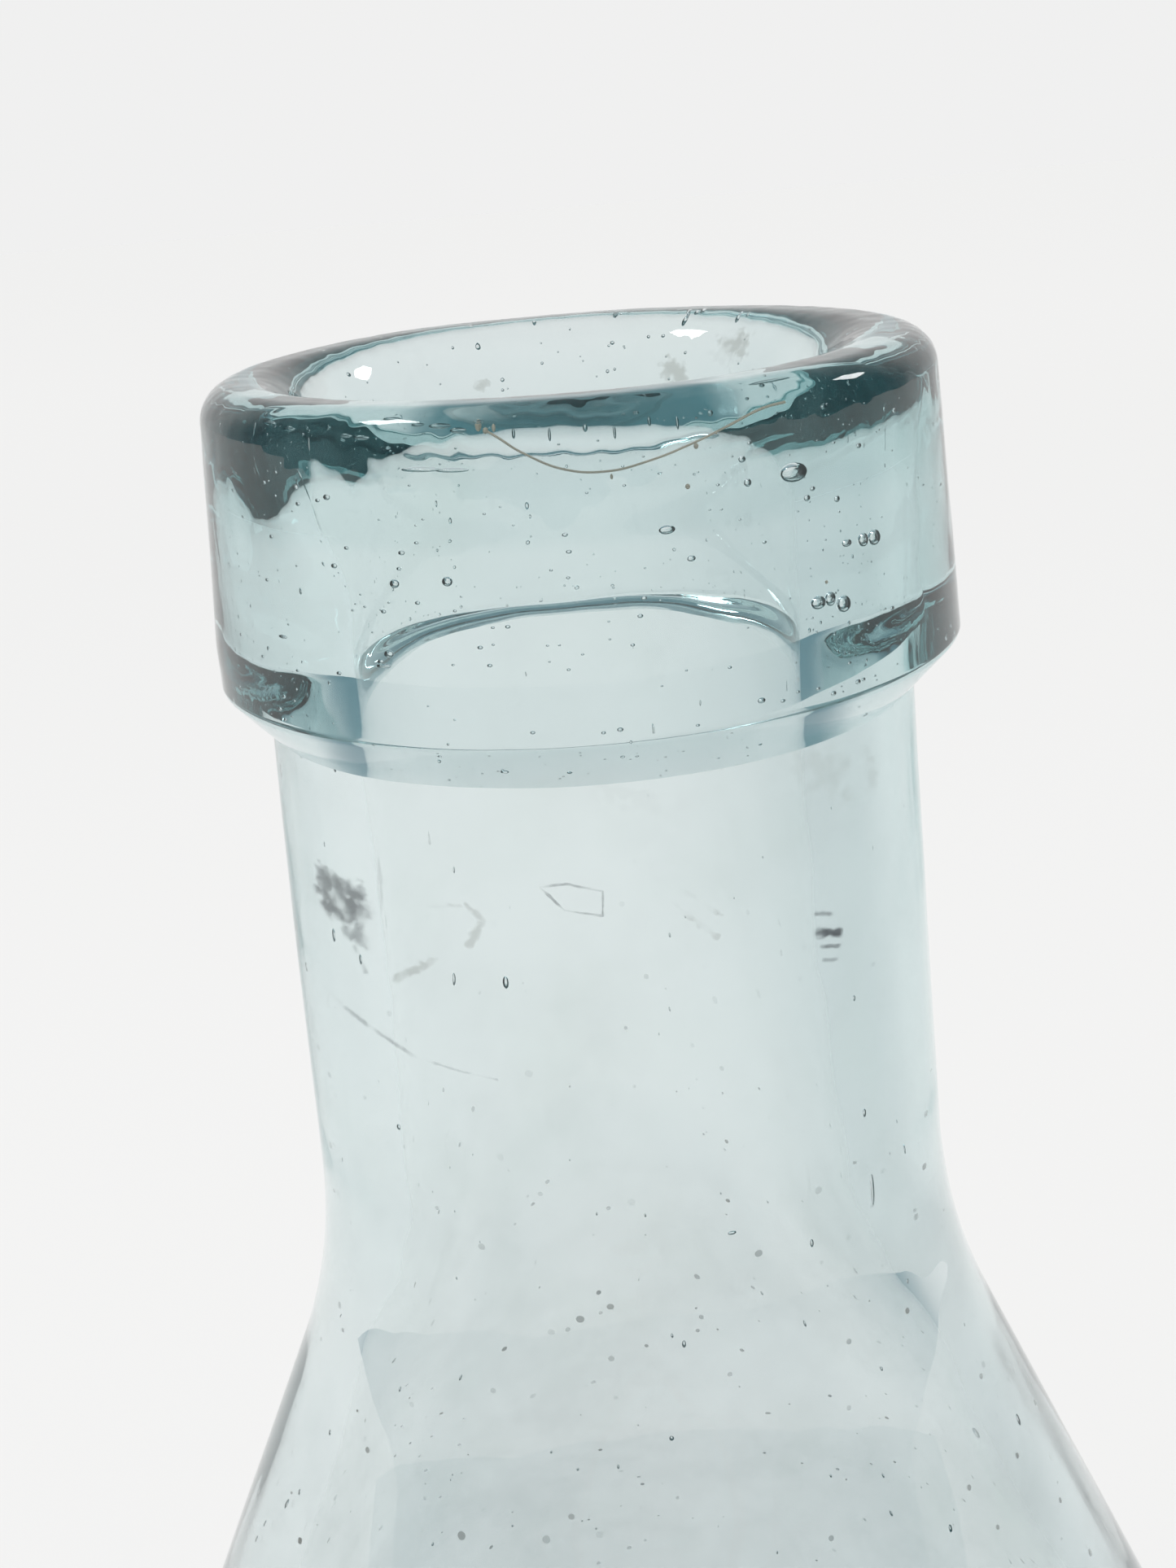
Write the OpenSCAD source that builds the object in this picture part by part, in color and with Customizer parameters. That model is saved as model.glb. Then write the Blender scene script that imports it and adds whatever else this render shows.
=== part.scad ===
// Antique cork-stoppered bottle of pale aqua glass: one blown vessel, a collar of hot glass laid
// round the end of its neck, and the ring of glass that the pontil rod left under the base.
// Millimetres, +Z up. The origin is the centre of the resting ring, on the table.

/* [Overall] */
// Height from the table to the top of the lip
total_h = 245; // [230:1:280]

/* [Mouth and lip] */
// Bore of the mouth, which takes the cork
mouth_d = 19; // [17:0.1:21]
// Depth of the true part of the bore, below the flare of the mouth
bore_h = 20; // [14:0.5:24]
// Radius of the long curve on which the bore opens towards the lip
mouth_flare_r = 7; // [4:0.5:8]
// Slope, from the upright, at which that curve turns over into the inner edge of the lip
mouth_flare_angle = 38; // [20:1:42]
// Flat that is left on top of the lip, between its two rounded edges
lip_land = 0.7; // [0.2:0.1:1]
// Radius of the fire-polished outer edge of the lip
lip_outer_r = 1.5; // [0.8:0.1:2.2]
// Straight bore in the collar's own glass, between the flare and the cut end of the neck
collar_land = 0.3; // [0.2:0.1:1.5]

/* [Collar] */
// How far the collar's lower edge stands out from the neck
collar_overhang = 2; // [1.4:0.1:4]
// How much slimmer the collar is at the top than at its lower edge, on the diameter
collar_taper = 1.4; // [0:0.1:2.4]
// Height of the collar's upright face
collar_band_h = 12.2; // [10:0.1:16]
// Height of the bevel below that face
collar_bevel_h = 2.1; // [1:0.1:4]
// Radius of the edge between face and bevel
collar_edge_r = 0.6; // [0.2:0.1:0.8]

/* [Neck] */
// Wall of the neck
neck_wall = 4.1; // [3:0.1:5]
// Height of the neck between the collar and the start of the shoulder's flare
neck_h = 20; // [15:0.5:40]
// How much wider the neck is at its foot than at the collar, on the diameter
neck_swell = 0.7; // [0:0.1:2]

/* [Shoulder] */
// Radius of the flare between neck and shoulder
flare_r = 27; // [15:1:40]
// How much shorter that radius is inside, which thins the wall towards the body
flare_thinning = 7; // [0:0.5:10]
// Steepest slope of the shoulder, measured from the upright
shoulder_angle = 23.5; // [21:0.5:28]
// Length of the straight stretch between the flare and the crown of the shoulder
cone_len = 20; // [5:0.5:26]

/* [Body] */
// Width of the body at the shoulder, where it is widest
body_d = 72; // [66:1:78]
// How much slimmer the body is at the heel, on the diameter
body_taper = 1.4; // [0:0.2:4]
// Wall of the body
body_wall = 2.8; // [2:0.1:4]

/* [Base] */
// Radius of the heel
heel_r = 8; // [6:0.5:10]
// Width of the flat resting ring
ring_w = 3.5; // [2.5:0.5:6]
// Radius of the edge between resting ring and push-up
push_edge_r = 4; // [2:0.5:6]
// Height of the push-up above the table
push_up_h = 12; // [8:0.5:16]
// Glass over the push-up
base_t = 5; // [4:0.5:7]
// Radius of the trough inside, between push-up and wall
trough_r = 7; // [5:0.5:8]

/* [Pontil scar] */
// Width of the ring that the pontil rod left, over its middle line
pontil_d = 20; // [14:1:26]
// Breadth of that ring
pontil_w = 3; // [2:0.2:4.4]
// How far the ring stands out of the push-up
pontil_t = 1.2; // [0.6:0.1:1.8]

/* [Hidden] */
$fn = 96;

arc_step = 6;      // degrees that one facet of a rounded outline turns
gentle_step = 1.6; // the same on the long curves of the shoulder
dome_parts = 8;    // facets of each stretch of the push-up

mouth_r = mouth_d / 2;
neck_r = mouth_r + neck_wall;
neck_foot_r = neck_r + neck_swell / 2;
body_r = body_d / 2;
heel_body_r = body_r - body_taper / 2;

collar_edge_z = total_h - collar_band_h;
collar_foot_z = collar_edge_z - collar_bevel_h;
flare_z = collar_foot_z - neck_h;

bevel_angle = atan2(collar_bevel_h, collar_overhang); // slope of the bevel, from level
face_lean = atan2(collar_taper / 2, collar_band_h);   // slope of the face, from the upright
edge_turn = 90 - bevel_angle + face_lean;             // how far the edge turns
edge_back = collar_edge_r * tan(edge_turn / 2);       // from the sharp corner to where it begins
collar_r = neck_r + collar_overhang;
lip_r = collar_r - collar_taper / 2;
lip_back = lip_outer_r * tan((90 - face_lean) / 2);

// The mouth's long curve and the inner edge of the lip share the breadth that the lip leaves.
mouth_opening = lip_r - lip_back - lip_land - mouth_r;
long_r = min(mouth_flare_r, 0.8 * mouth_opening / (1 - cos(mouth_flare_angle)));
lip_inner_r = (mouth_opening - long_r * (1 - cos(mouth_flare_angle))) / cos(mouth_flare_angle);
mouth_flare_z = total_h - lip_inner_r * (1 - sin(mouth_flare_angle)) - long_r * sin(mouth_flare_angle);
neck_end_z = mouth_flare_z - collar_land;
bore_foot_z = max(mouth_flare_z - bore_h, flare_z + 1);

ring_out_r = heel_body_r - heel_r;
ring_in_r = ring_out_r - ring_w;

// The push-up is an arch about a centre below the table. It meets the rounded edge of the
// resting ring without a break.
dome_z = (pow(push_up_h, 2) + 2 * push_up_h * push_edge_r - pow(ring_in_r, 2)) / (2 * push_up_h);
dome_r = push_up_h - dome_z;
dome_end = atan2(ring_in_r, push_edge_r - dome_z); // angle from the axis where arch and edge meet
scar_from = asin((pontil_d - pontil_w) / 2 / dome_r);
scar_to = asin((pontil_d + pontil_w) / 2 / dome_r);

// Inside, a trough runs round between the arch and the wall.
trough_wall_r = heel_body_r - body_wall;
inner_dome_r = dome_r + base_t;
trough_z = dome_z + sqrt(pow(inner_dome_r + trough_r, 2) - pow(trough_wall_r - trough_r, 2));
trough_end = atan2(trough_wall_r - trough_r, trough_z - dome_z);

function polar(c, r, a) = [c[0] + r * cos(a), c[1] + r * sin(a)];

// Points of an arc about c from angle a0 to a1, both ends included.
function arc(c, r, a0, a1, step = arc_step) =
    let (n = max(2, ceil(abs(a1 - a0) / step)))
    [for (i = [0:n]) polar(c, r, a0 + (a1 - a0) * i / n)];

// The same in a set number of parts, for outlines that two pieces share.
function arc_in(c, r, a0, a1, parts) =
    [for (i = [0:parts]) polar(c, r, a0 + (a1 - a0) * i / parts)];

function without_first(p) = [for (i = [1:len(p) - 1]) p[i]];
function without_last(p) = [for (i = [0:len(p) - 2]) p[i]];
function backwards(p) = [for (i = [len(p) - 1:-1:0]) p[i]];

// The shoulder's outline from its crown up to the neck: crown, straight stretch and flare, each
// tangent to the next. The crown's radius follows from what is left of the width.
function crown_r(narrow_r, wide_r, flare) =
    (wide_r - narrow_r - cone_len * sin(shoulder_angle)) / (1 - cos(shoulder_angle)) - flare;
function crown_z(narrow_r, wide_r, flare) =
    flare_z - (flare + crown_r(narrow_r, wide_r, flare)) * sin(shoulder_angle)
        - cone_len * cos(shoulder_angle);
function shoulder(narrow_r, wide_r, flare) =
    let (crown = crown_r(narrow_r, wide_r, flare))
    concat(
        arc([wide_r - crown, crown_z(narrow_r, wide_r, flare)], crown, 0, shoulder_angle, gentle_step),
        arc([narrow_r + flare, flare_z], flare, 180 + shoulder_angle, 180, gentle_step)
    );

// The arch of the push-up from the axis outwards, with joints where the pontil ring begins and
// ends, so that ring and arch lie face to face.
function dome_stretch(from, to) = arc_in([0, dome_z], dome_r, 90 - from, 90 - to, dome_parts);

function outside() = concat(
    without_last(dome_stretch(0, scar_from)),
    without_last(dome_stretch(scar_from, scar_to)),
    without_last(dome_stretch(scar_to, dome_end)),
    arc([ring_in_r, push_edge_r], push_edge_r, 270 - dome_end, 270),
    arc([ring_out_r, heel_r], heel_r, 270, 360),
    shoulder(neck_foot_r, body_r, flare_r),
    [[neck_r, collar_foot_z], [neck_r, neck_end_z]]
);

function inside() = concat(
    arc_in([0, dome_z], inner_dome_r, 90, 90 - trough_end, 2 * dome_parts),
    without_first(arc([trough_wall_r - trough_r, trough_z], trough_r, 270 - trough_end, 360)),
    shoulder(neck_foot_r - neck_wall, body_r - body_wall, flare_r - flare_thinning),
    [[mouth_r, bore_foot_z], [mouth_r, neck_end_z]]
);

// Foot, bevel, face, lip and mouth of the collar, from the neck outwards and round to the bore.
function collar_outline() = concat(
    [[neck_r, neck_end_z], [neck_r, collar_foot_z]],
    arc([collar_r - edge_back * cos(bevel_angle) - collar_edge_r * sin(bevel_angle),
         collar_edge_z - edge_back * sin(bevel_angle) + collar_edge_r * cos(bevel_angle)],
        collar_edge_r, bevel_angle - 90, face_lean, 15),
    arc([lip_r - lip_back, total_h - lip_outer_r], lip_outer_r, face_lean, 90, 10),
    arc([mouth_r + mouth_opening, total_h - lip_inner_r], lip_inner_r, 90, 180 - mouth_flare_angle, 9),
    without_first(arc([mouth_r + long_r, mouth_flare_z], long_r, 180 - mouth_flare_angle, 180, 6)),
    [[mouth_r, neck_end_z]]
);

// The blown vessel: push-up, heel, body, shoulder and neck in one skin.
module blown_body() {
    color([0.80, 0.89, 0.88, 0.55])
        rotate_extrude() polygon(concat(outside(), backwards(inside())));
}

// A ribbon of hot glass laid round the neck's end and tooled to shape. It laps over the cut end.
module applied_collar() {
    color([0.66, 0.82, 0.81, 0.65])
        rotate_extrude() polygon(collar_outline());
}

// The bead of glass that stayed on the push-up when the pontil rod was cracked off.
module pontil_scar() {
    scar = scar_to - scar_from;
    bead = [for (i = [1:dome_parts - 1])
        let (a = scar_to - scar * i / dome_parts)
        polar([0, dome_z], dome_r - pontil_t * pow(sin(180 * i / dome_parts), 0.6), 90 - a)];
    color([0.62, 0.80, 0.79, 0.7])
        rotate_extrude() polygon(concat(dome_stretch(scar_from, scar_to), bead));
}

blown_body();
applied_collar();
pontil_scar();
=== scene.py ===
import math

import bmesh
import bpy
from mathutils import Matrix, Vector


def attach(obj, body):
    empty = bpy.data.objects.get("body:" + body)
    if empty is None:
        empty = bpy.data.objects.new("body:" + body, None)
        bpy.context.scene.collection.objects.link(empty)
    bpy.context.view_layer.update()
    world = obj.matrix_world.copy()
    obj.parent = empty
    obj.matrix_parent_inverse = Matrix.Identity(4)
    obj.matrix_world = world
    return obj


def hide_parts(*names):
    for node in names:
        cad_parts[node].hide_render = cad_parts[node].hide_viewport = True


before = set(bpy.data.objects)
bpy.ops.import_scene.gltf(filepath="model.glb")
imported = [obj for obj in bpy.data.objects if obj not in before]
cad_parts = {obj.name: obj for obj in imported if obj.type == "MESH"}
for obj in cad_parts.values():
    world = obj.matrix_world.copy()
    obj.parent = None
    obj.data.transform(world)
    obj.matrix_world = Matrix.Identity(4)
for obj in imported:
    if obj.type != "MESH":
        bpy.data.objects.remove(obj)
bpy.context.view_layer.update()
mm = 0.001

# ---------------------------------------------------------------------------------------------
# Viewpoint: a close-up of collar, neck and upper shoulder, held by hand about 10 cm from the
# collar and a little above the lip, so that the camera is rolled a few degrees.
# ---------------------------------------------------------------------------------------------
FRAME_W, FRAME_H = 1445, 1927
focal_px = 2807
collar_edge = Vector((0, 0, 232.8 * mm))
edge_px = (722.8, 785.2)
camera_distance = 97 * mm
camera_height_angle = math.radians(14.14)
camera_roll = math.radians(-4.75)

sight = Vector((0, math.cos(camera_height_angle), -math.sin(camera_height_angle)))
level_right = Vector((1, 0, 0))
level_up = level_right.cross(sight)
right = level_right * math.cos(camera_roll) + level_up * math.sin(camera_roll)
up = level_up * math.cos(camera_roll) - level_right * math.sin(camera_roll)
edge_ray = Vector(((edge_px[0] - FRAME_W / 2) / focal_px, (FRAME_H / 2 - edge_px[1]) / focal_px, -1))
aim = Vector((0, 0, -1)).rotation_difference(edge_ray).to_matrix()
camera_axes = (aim @ Matrix((right, up, -sight))).transposed()

lens = bpy.data.cameras.new("camera")
lens.sensor_width = 36
lens.lens = lens.sensor_width * focal_px / FRAME_H
lens.clip_start = 5 * mm
camera = bpy.data.objects.new("camera", lens)
camera.matrix_world = Matrix.Translation(collar_edge - sight * camera_distance) @ camera_axes.to_4x4()
bpy.context.collection.objects.link(camera)
bpy.context.scene.camera = camera
bpy.context.scene.view_settings.view_transform = "Standard"

# Light crosses many faces of thick glass before it leaves.
bpy.context.scene.cycles.max_bounces = 24
bpy.context.scene.cycles.transmission_bounces = 24
bpy.context.scene.cycles.glossy_bounces = 16
bpy.context.scene.cycles.transparent_max_bounces = 32


# ---------------------------------------------------------------------------------------------
# Studio: a pale paper floor that runs to the horizon, under a tent of soft light. Glass mirrors
# and bends the tent's darker parts too: the ceiling and the side that the camera is on.
# ---------------------------------------------------------------------------------------------
def node(tree, kind, inputs=None, **settings):
    made = tree.nodes.new(kind)
    for name, value in settings.items():
        setattr(made, name, value)
    for key, value in (inputs or {}).items():
        if isinstance(value, bpy.types.NodeSocket):
            tree.links.new(value, made.inputs[key])
        else:
            made.inputs[key].default_value = value
    return made


def maths(tree, operation, *values):
    return node(tree, "ShaderNodeMath", dict(enumerate(values)), operation=operation).outputs[0]


def vector_maths(tree, operation, *values, result=0):
    made = node(tree, "ShaderNodeVectorMath", dict(enumerate(values)), operation=operation)
    return made.outputs[result]


def scaled(tree, vector, factor):
    return node(tree, "ShaderNodeVectorMath", {0: vector, 3: factor}, operation="SCALE").outputs[0]


def smooth_step(tree, value, low, high, to_low=0.0, to_high=1.0):
    inputs = dict(enumerate((value, low, high, to_low, to_high)))
    return node(tree, "ShaderNodeMapRange", inputs, interpolation_type="SMOOTHSTEP").outputs[0]


def blend(tree, share, low, high):
    """The colour low where share is 0, and high where it is 1."""
    return node(tree, "ShaderNodeMix", {0: share, 6: low, 7: high}, data_type="RGBA").outputs[2]


# Painted shade on the paper: its colour is a little darker near the bottle. What the glass bends or catches
# of it has a darker painted shade still, in front of the bottle and towards the right, as if things stood
# close to it there.
paper_near_painted_shade = (0.80, 0.80, 0.797, 1)
paper_far = (0.872, 0.872, 0.868, 1)
paper_shade = (0.11, 0.23, 0.26, 1)
shade_middle = (0.03, -0.08, 0)
shade_core, shade_rim = 0.14, 0.22
right_shade_rim, right_shade_strength = 0.45, 0.2
floor_half = 4.0
floor_corners = [(x * floor_half, y * floor_half, 0) for x, y in ((-1, -1), (1, -1), (1, 1), (-1, 1))]
floor_mesh = bpy.data.meshes.new("floor")
floor_mesh.from_pydata(floor_corners, [], [(0, 1, 2, 3)])
floor = bpy.data.objects.new("floor", floor_mesh)
bpy.context.collection.objects.link(floor)
paper = bpy.data.materials.new("paper")
paper.use_nodes = True
paper_shader = paper.node_tree.nodes["Principled BSDF"]
paper_shader.inputs["Roughness"].default_value = 1
paper_shader.inputs["Specular IOR Level"].default_value = 0
tree = paper.node_tree
place = node(tree, "ShaderNodeTexCoord").outputs["Object"]
reach = vector_maths(tree, "LENGTH", place, result="Value")
# Painted shade: the paper's colour darkens towards the bottle for every ray. Rays through the glass see a
# further painted shade in front and to the right.
shade = blend(tree, smooth_step(tree, reach, 0.1, 2.2), paper_near_painted_shade, paper_far)
path = node(tree, "ShaderNodeLightPath").outputs
by_glass = maths(tree, "GREATER_THAN", path["Transmission Depth"], 0.5)
trapped = maths(tree, "MULTIPLY", by_glass, maths(tree, "GREATER_THAN", path["Glossy Depth"], 0.5))
from_shade = vector_maths(tree, "DISTANCE", place, shade_middle, result="Value")
near_shade = smooth_step(tree, from_shade, shade_core, shade_rim, 1.0, 0.0)
rightward = node(tree, "ShaderNodeSeparateXYZ", {0: place}).outputs[0]
right_shade = smooth_step(tree, rightward, 0.0, right_shade_rim, 0.0, right_shade_strength)
near_shade = maths(tree, "MULTIPLY", near_shade, trapped)
shaded = maths(tree, "MAXIMUM", near_shade, maths(tree, "MULTIPLY", right_shade, by_glass))
tree.links.new(blend(tree, shaded, shade, paper_shade), paper_shader.inputs["Base Color"])
floor_mesh.materials.append(paper)

tent_white = (0.872, 0.872, 0.870, 1)
tent_shade = (0.13, 0.26, 0.31, 1)
open_light = (1.0, 1.0, 0.998, 1)
tent = bpy.data.worlds.new("tent")
tent.use_nodes = True
bpy.context.scene.world = tent
tree = tent.node_tree
tree.nodes.clear()
direction = node(tree, "ShaderNodeTexCoord").outputs["Generated"]
towards = node(tree, "ShaderNodeSeparateXYZ", {0: direction}).outputs
bearing = maths(tree, "ABSOLUTE", maths(tree, "ARCTAN2", towards[0], towards[1]))
beside = smooth_step(tree, bearing, math.radians(38), math.radians(72), 1.0, 0.0)
overhead = smooth_step(tree, towards[2], 0.35, 0.75, 1.0, 0.25)
ray = node(tree, "ShaderNodeLightPath").outputs
straight = maths(tree, "LESS_THAN", ray["Glossy Depth"], 0.5)
lit = maths(tree, "MAXIMUM", straight, maths(tree, "MULTIPLY", beside, overhead))
cloth = blend(tree, lit, tent_shade, tent_white)
by_glass = maths(tree, "MAXIMUM", ray["Is Glossy Ray"], ray["Is Transmission Ray"])
seen = blend(tree, ray["Is Camera Ray"], open_light, tent_white)
background = node(tree, "ShaderNodeBackground", {"Color": blend(tree, by_glass, seen, cloth)})
node(tree, "ShaderNodeOutputWorld", {0: background.outputs[0]})

# Two windows of the tent, small and soft, give the sparks along the lip: bearing from straight
# behind the bottle, height angle, distance and width in metres, power in watts.
for name, bearing_deg, rise_deg, distance, width, power in (
    ("window_left", -85, 58, 1.2, 0.22, 2.2),
    ("window_right", 64, 36, 1.2, 0.16, 0.8),
):
    lamp = bpy.data.lights.new(name, "AREA")
    lamp.size = width
    lamp.energy = power
    window = bpy.data.objects.new(name, lamp)
    turn, rise = math.radians(bearing_deg), math.radians(rise_deg)
    from_lip = Vector((math.sin(turn) * math.cos(rise), math.cos(turn) * math.cos(rise), math.sin(rise)))
    facing = from_lip.to_track_quat("Z", "Y").to_matrix().to_4x4()
    window.matrix_world = Matrix.Translation(collar_edge + from_lip * distance) @ facing
    bpy.context.collection.objects.link(window)


# ---------------------------------------------------------------------------------------------
# Blown body: one gather of aqua glass blown to body, shoulder and neck, with a pushed-up base.
# Its outline is turned round the axis, and the hand's unevenness is pressed into it.
# ---------------------------------------------------------------------------------------------
total_h = 245 * mm
mouth_r = 9.5 * mm
bore_h = 20 * mm
mouth_flare_r = 7 * mm
mouth_flare_angle = math.radians(38)
lip_inner_r = 2.2838 * mm
collar_land = 0.3 * mm
neck_wall = 4.1 * mm
neck_h = 20 * mm
neck_swell = 0.35 * mm
collar_band_h = 12.2 * mm
collar_bevel_h = 2.1 * mm
flare_r = 27 * mm
flare_thinning = 7 * mm
shoulder_angle = math.radians(23.5)
cone_len = 20 * mm
body_r = 36 * mm
heel_body_r = body_r - 0.7 * mm
body_wall = 2.8 * mm
heel_r = 8 * mm
ring_w = 3.5 * mm
push_edge_r = 4 * mm
push_up_h = 12 * mm
base_t = 5 * mm
trough_r = 7 * mm
pontil_d = 20 * mm
pontil_w = 3 * mm

neck_r = mouth_r + neck_wall
neck_foot_r = neck_r + neck_swell
mouth_flare_z = total_h - lip_inner_r - (mouth_flare_r - lip_inner_r) * math.sin(mouth_flare_angle)
neck_end_z = mouth_flare_z - collar_land
collar_edge_z = total_h - collar_band_h
collar_foot_z = collar_edge_z - collar_bevel_h
bore_foot_z = mouth_flare_z - bore_h
flare_z = collar_foot_z - neck_h
ring_out_r = heel_body_r - heel_r
ring_in_r = ring_out_r - ring_w
dome_z = (push_up_h**2 + 2 * push_up_h * push_edge_r - ring_in_r**2) / (2 * push_up_h)
dome_r = push_up_h - dome_z
dome_end = math.atan2(ring_in_r, push_edge_r - dome_z)
inner_dome_r = dome_r + base_t
trough_mid_r = heel_body_r - body_wall - trough_r
trough_z = dome_z + math.sqrt((inner_dome_r + trough_r) ** 2 - trough_mid_r**2)
trough_end = math.atan2(trough_mid_r, trough_z - dome_z)
quarter = math.pi / 2


def arc(centre, radius, start, end, step=math.radians(6)):
    """Points of an arc about centre, both ends included."""
    parts = max(2, math.ceil(abs(end - start) / step))
    angles = [start + (end - start) * i / parts for i in range(parts + 1)]
    return [(centre[0] + radius * math.cos(a), centre[1] + radius * math.sin(a)) for a in angles]


def line(start, end, parts):
    """Points from start towards end, without the last."""
    return [tuple(a + (b - a) * i / parts for a, b in zip(start, end)) for i in range(parts)]


def shoulder(narrow_r, wide_r, flare):
    """The shoulder's outline from its crown up to the neck, each stretch tangent to the next."""
    rise = wide_r - narrow_r - cone_len * math.sin(shoulder_angle)
    crown = rise / (1 - math.cos(shoulder_angle)) - flare
    crown_z = flare_z - (flare + crown) * math.sin(shoulder_angle) - cone_len * math.cos(shoulder_angle)
    crown_arc = arc((wide_r - crown, crown_z), crown, 0, shoulder_angle, math.radians(1.5))
    flare_arc = arc((narrow_r + flare, flare_z), flare, math.pi + shoulder_angle, math.pi, math.radians(1.5))
    return crown_arc + line(crown_arc[-1], flare_arc[0], 6)[1:] + flare_arc


wall_top_z = 120 * mm
inner_wall_top_z = 115 * mm
scar_from = math.asin((pontil_d - pontil_w) / 2 / dome_r)
scar_to = math.asin((pontil_d + pontil_w) / 2 / dome_r)
dome_top = arc((0, dome_z), dome_r, quarter, quarter - scar_from, math.radians(4))[:-1]
dome_scar = arc((0, dome_z), dome_r, quarter - scar_from, quarter - scar_to, math.radians(1))
outside = (
    arc((0, dome_z), dome_r, quarter - scar_to, quarter - dome_end, math.radians(4))[1:]
    + arc((ring_in_r, push_edge_r), push_edge_r, 3 * quarter - dome_end, 3 * quarter)[1:]
    + arc((ring_out_r, heel_r), heel_r, 3 * quarter, 4 * quarter)
)
outside += line(outside[-1], (body_r, wall_top_z), 12)[1:]
outside += shoulder(neck_foot_r, body_r, flare_r)
outside += line(outside[-1], (neck_r, collar_foot_z), 16)[1:]
inside = (
    arc((0, dome_z), inner_dome_r, quarter, quarter - trough_end)
    + arc((trough_mid_r, trough_z), trough_r, 3 * quarter - trough_end, 4 * quarter)[1:]
)
inside += line(inside[-1], (body_r - body_wall, inner_wall_top_z), 12)[1:]
inside += shoulder(neck_foot_r - neck_wall, body_r - body_wall, flare_r - flare_thinning)
inside += line(inside[-1], (mouth_r, bore_foot_z), 8)[1:]
inside += line((mouth_r, bore_foot_z), (mouth_r, neck_end_z), 40)
inside += [(mouth_r, neck_end_z)]
seat = line((neck_r, collar_foot_z), (neck_r, neck_end_z), 12)
seat += line((neck_r, neck_end_z), (mouth_r, neck_end_z), 4) + [(mouth_r, neck_end_z)]


def geometry_tree(name, inputs):
    """A Geometry Nodes tree with a Geometry input and the named ones, and its input sockets."""
    made = bpy.data.node_groups.new(name, "GeometryNodeTree")
    made.interface.new_socket("Geometry", in_out="INPUT", socket_type="NodeSocketGeometry")
    made.interface.new_socket("Geometry", in_out="OUTPUT", socket_type="NodeSocketGeometry")
    for label, kind in inputs:
        made.interface.new_socket(label, in_out="INPUT", socket_type=f"NodeSocket{kind}")
    return made, node(made, "NodeGroupInput").outputs


def number_inputs(*labels):
    return [(label, "Float") for label in labels]


def stored(tree, name):
    """What an earlier node wrote on the mesh under that name."""
    return node(tree, "GeometryNodeInputNamedAttribute", {"Name": name}, data_type="FLOAT").outputs[0]


def combined(tree, x=0.0, y=0.0, z=0.0):
    return node(tree, "ShaderNodeCombineXYZ", {0: x, 1: y, 2: z}).outputs[0]


def smooth(tree, shape, condition=True, domain="FACE"):
    inputs = {"Geometry": shape, "Shade Smooth": condition}
    return node(tree, "GeometryNodeSetShadeSmooth", inputs, domain=domain).outputs[0]


def hollow_ball(tree, fineness):
    """A ball of radius 1 whose faces point into it."""
    ball = node(tree, "GeometryNodeMeshIcoSphere", {"Radius": 1.0, "Subdivisions": fineness}).outputs["Mesh"]
    return smooth(tree, node(tree, "GeometryNodeFlipFaces", {"Mesh": ball}).outputs[0])


def around_axis(tree):
    """Bearing from the front, distance from the axis, height and outward direction of a point."""
    place = node(tree, "GeometryNodeInputPosition").outputs[0]
    x, y, z = node(tree, "ShaderNodeSeparateXYZ", {0: place}).outputs
    bearing = maths(tree, "ARCTAN2", x, maths(tree, "MULTIPLY", y, -1.0))
    flat = vector_maths(tree, "MULTIPLY", place, (1, 1, 0))
    distance = vector_maths(tree, "LENGTH", flat, result="Value")
    outward = vector_maths(tree, "NORMALIZE", flat)
    return bearing, distance, z, outward


# One press of a tool or a finger: moves what lies near a place on the ring of that bearing,
# height and distance from the axis, outward and up.
press, given = geometry_tree("press", number_inputs(
    "Bearing", "Height", "Distance", "Round", "Tall", "Deep", "Outward", "Up"))
bearing, distance, height, outward = around_axis(press)
turned = maths(press, "SUBTRACT", bearing, given["Bearing"])
nearest = maths(press, "WRAP", turned, math.pi, -math.pi)
weight = None
for away, reach in (
    (nearest, given["Round"]),
    (maths(press, "SUBTRACT", height, given["Height"]), given["Tall"]),
    (maths(press, "SUBTRACT", distance, given["Distance"]), given["Deep"]),
):
    part = maths(press, "ABSOLUTE", maths(press, "DIVIDE", away, reach))
    part = smooth_step(press, part, 0.0, 1.0, 1.0, 0.0)
    weight = maths(press, "MULTIPLY", weight, part) if weight else part
sideways = scaled(press, outward, given["Outward"])
lift = combined(press, z=given["Up"])
shift = scaled(press, vector_maths(press, "ADD", sideways, lift), weight)
moved = node(press, "GeometryNodeSetPosition", {"Geometry": given["Geometry"], "Offset": shift})
node(press, "NodeGroupOutput", {0: moved.outputs[0]})

# Slow unevenness of glass that was soft: noise that grows between two heights. Loose spares what
# lies against another piece.
wobble, given = geometry_tree("wobble", number_inputs(
    "Lump", "Amount", "Seed", "None Below", "All Above", "Loose"))
place = node(wobble, "GeometryNodeInputPosition").outputs[0]
fineness = maths(wobble, "DIVIDE", 1.0, given["Lump"])
noise = node(wobble, "ShaderNodeTexNoise", {
    "Vector": place, "W": given["Seed"], "Scale": fineness, "Detail": 0.0}, noise_dimensions="4D")
swing = vector_maths(wobble, "SUBTRACT", noise.outputs["Color"], (0.5, 0.5, 0.5))
height = node(wobble, "ShaderNodeSeparateXYZ", {0: place}).outputs[2]
fade = smooth_step(wobble, height, given["None Below"], given["All Above"])
held = maths(wobble, "MULTIPLY", stored(wobble, "joined_row"), given["Loose"])
spared = maths(wobble, "SUBTRACT", 1.0, held)
amount = maths(wobble, "MULTIPLY", maths(wobble, "MULTIPLY", fade, spared), given["Amount"])
moved = node(wobble, "GeometryNodeSetPosition", {
    "Geometry": given["Geometry"], "Offset": scaled(wobble, swing, amount)})
node(wobble, "NodeGroupOutput", {0: moved.outputs[0]})

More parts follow.
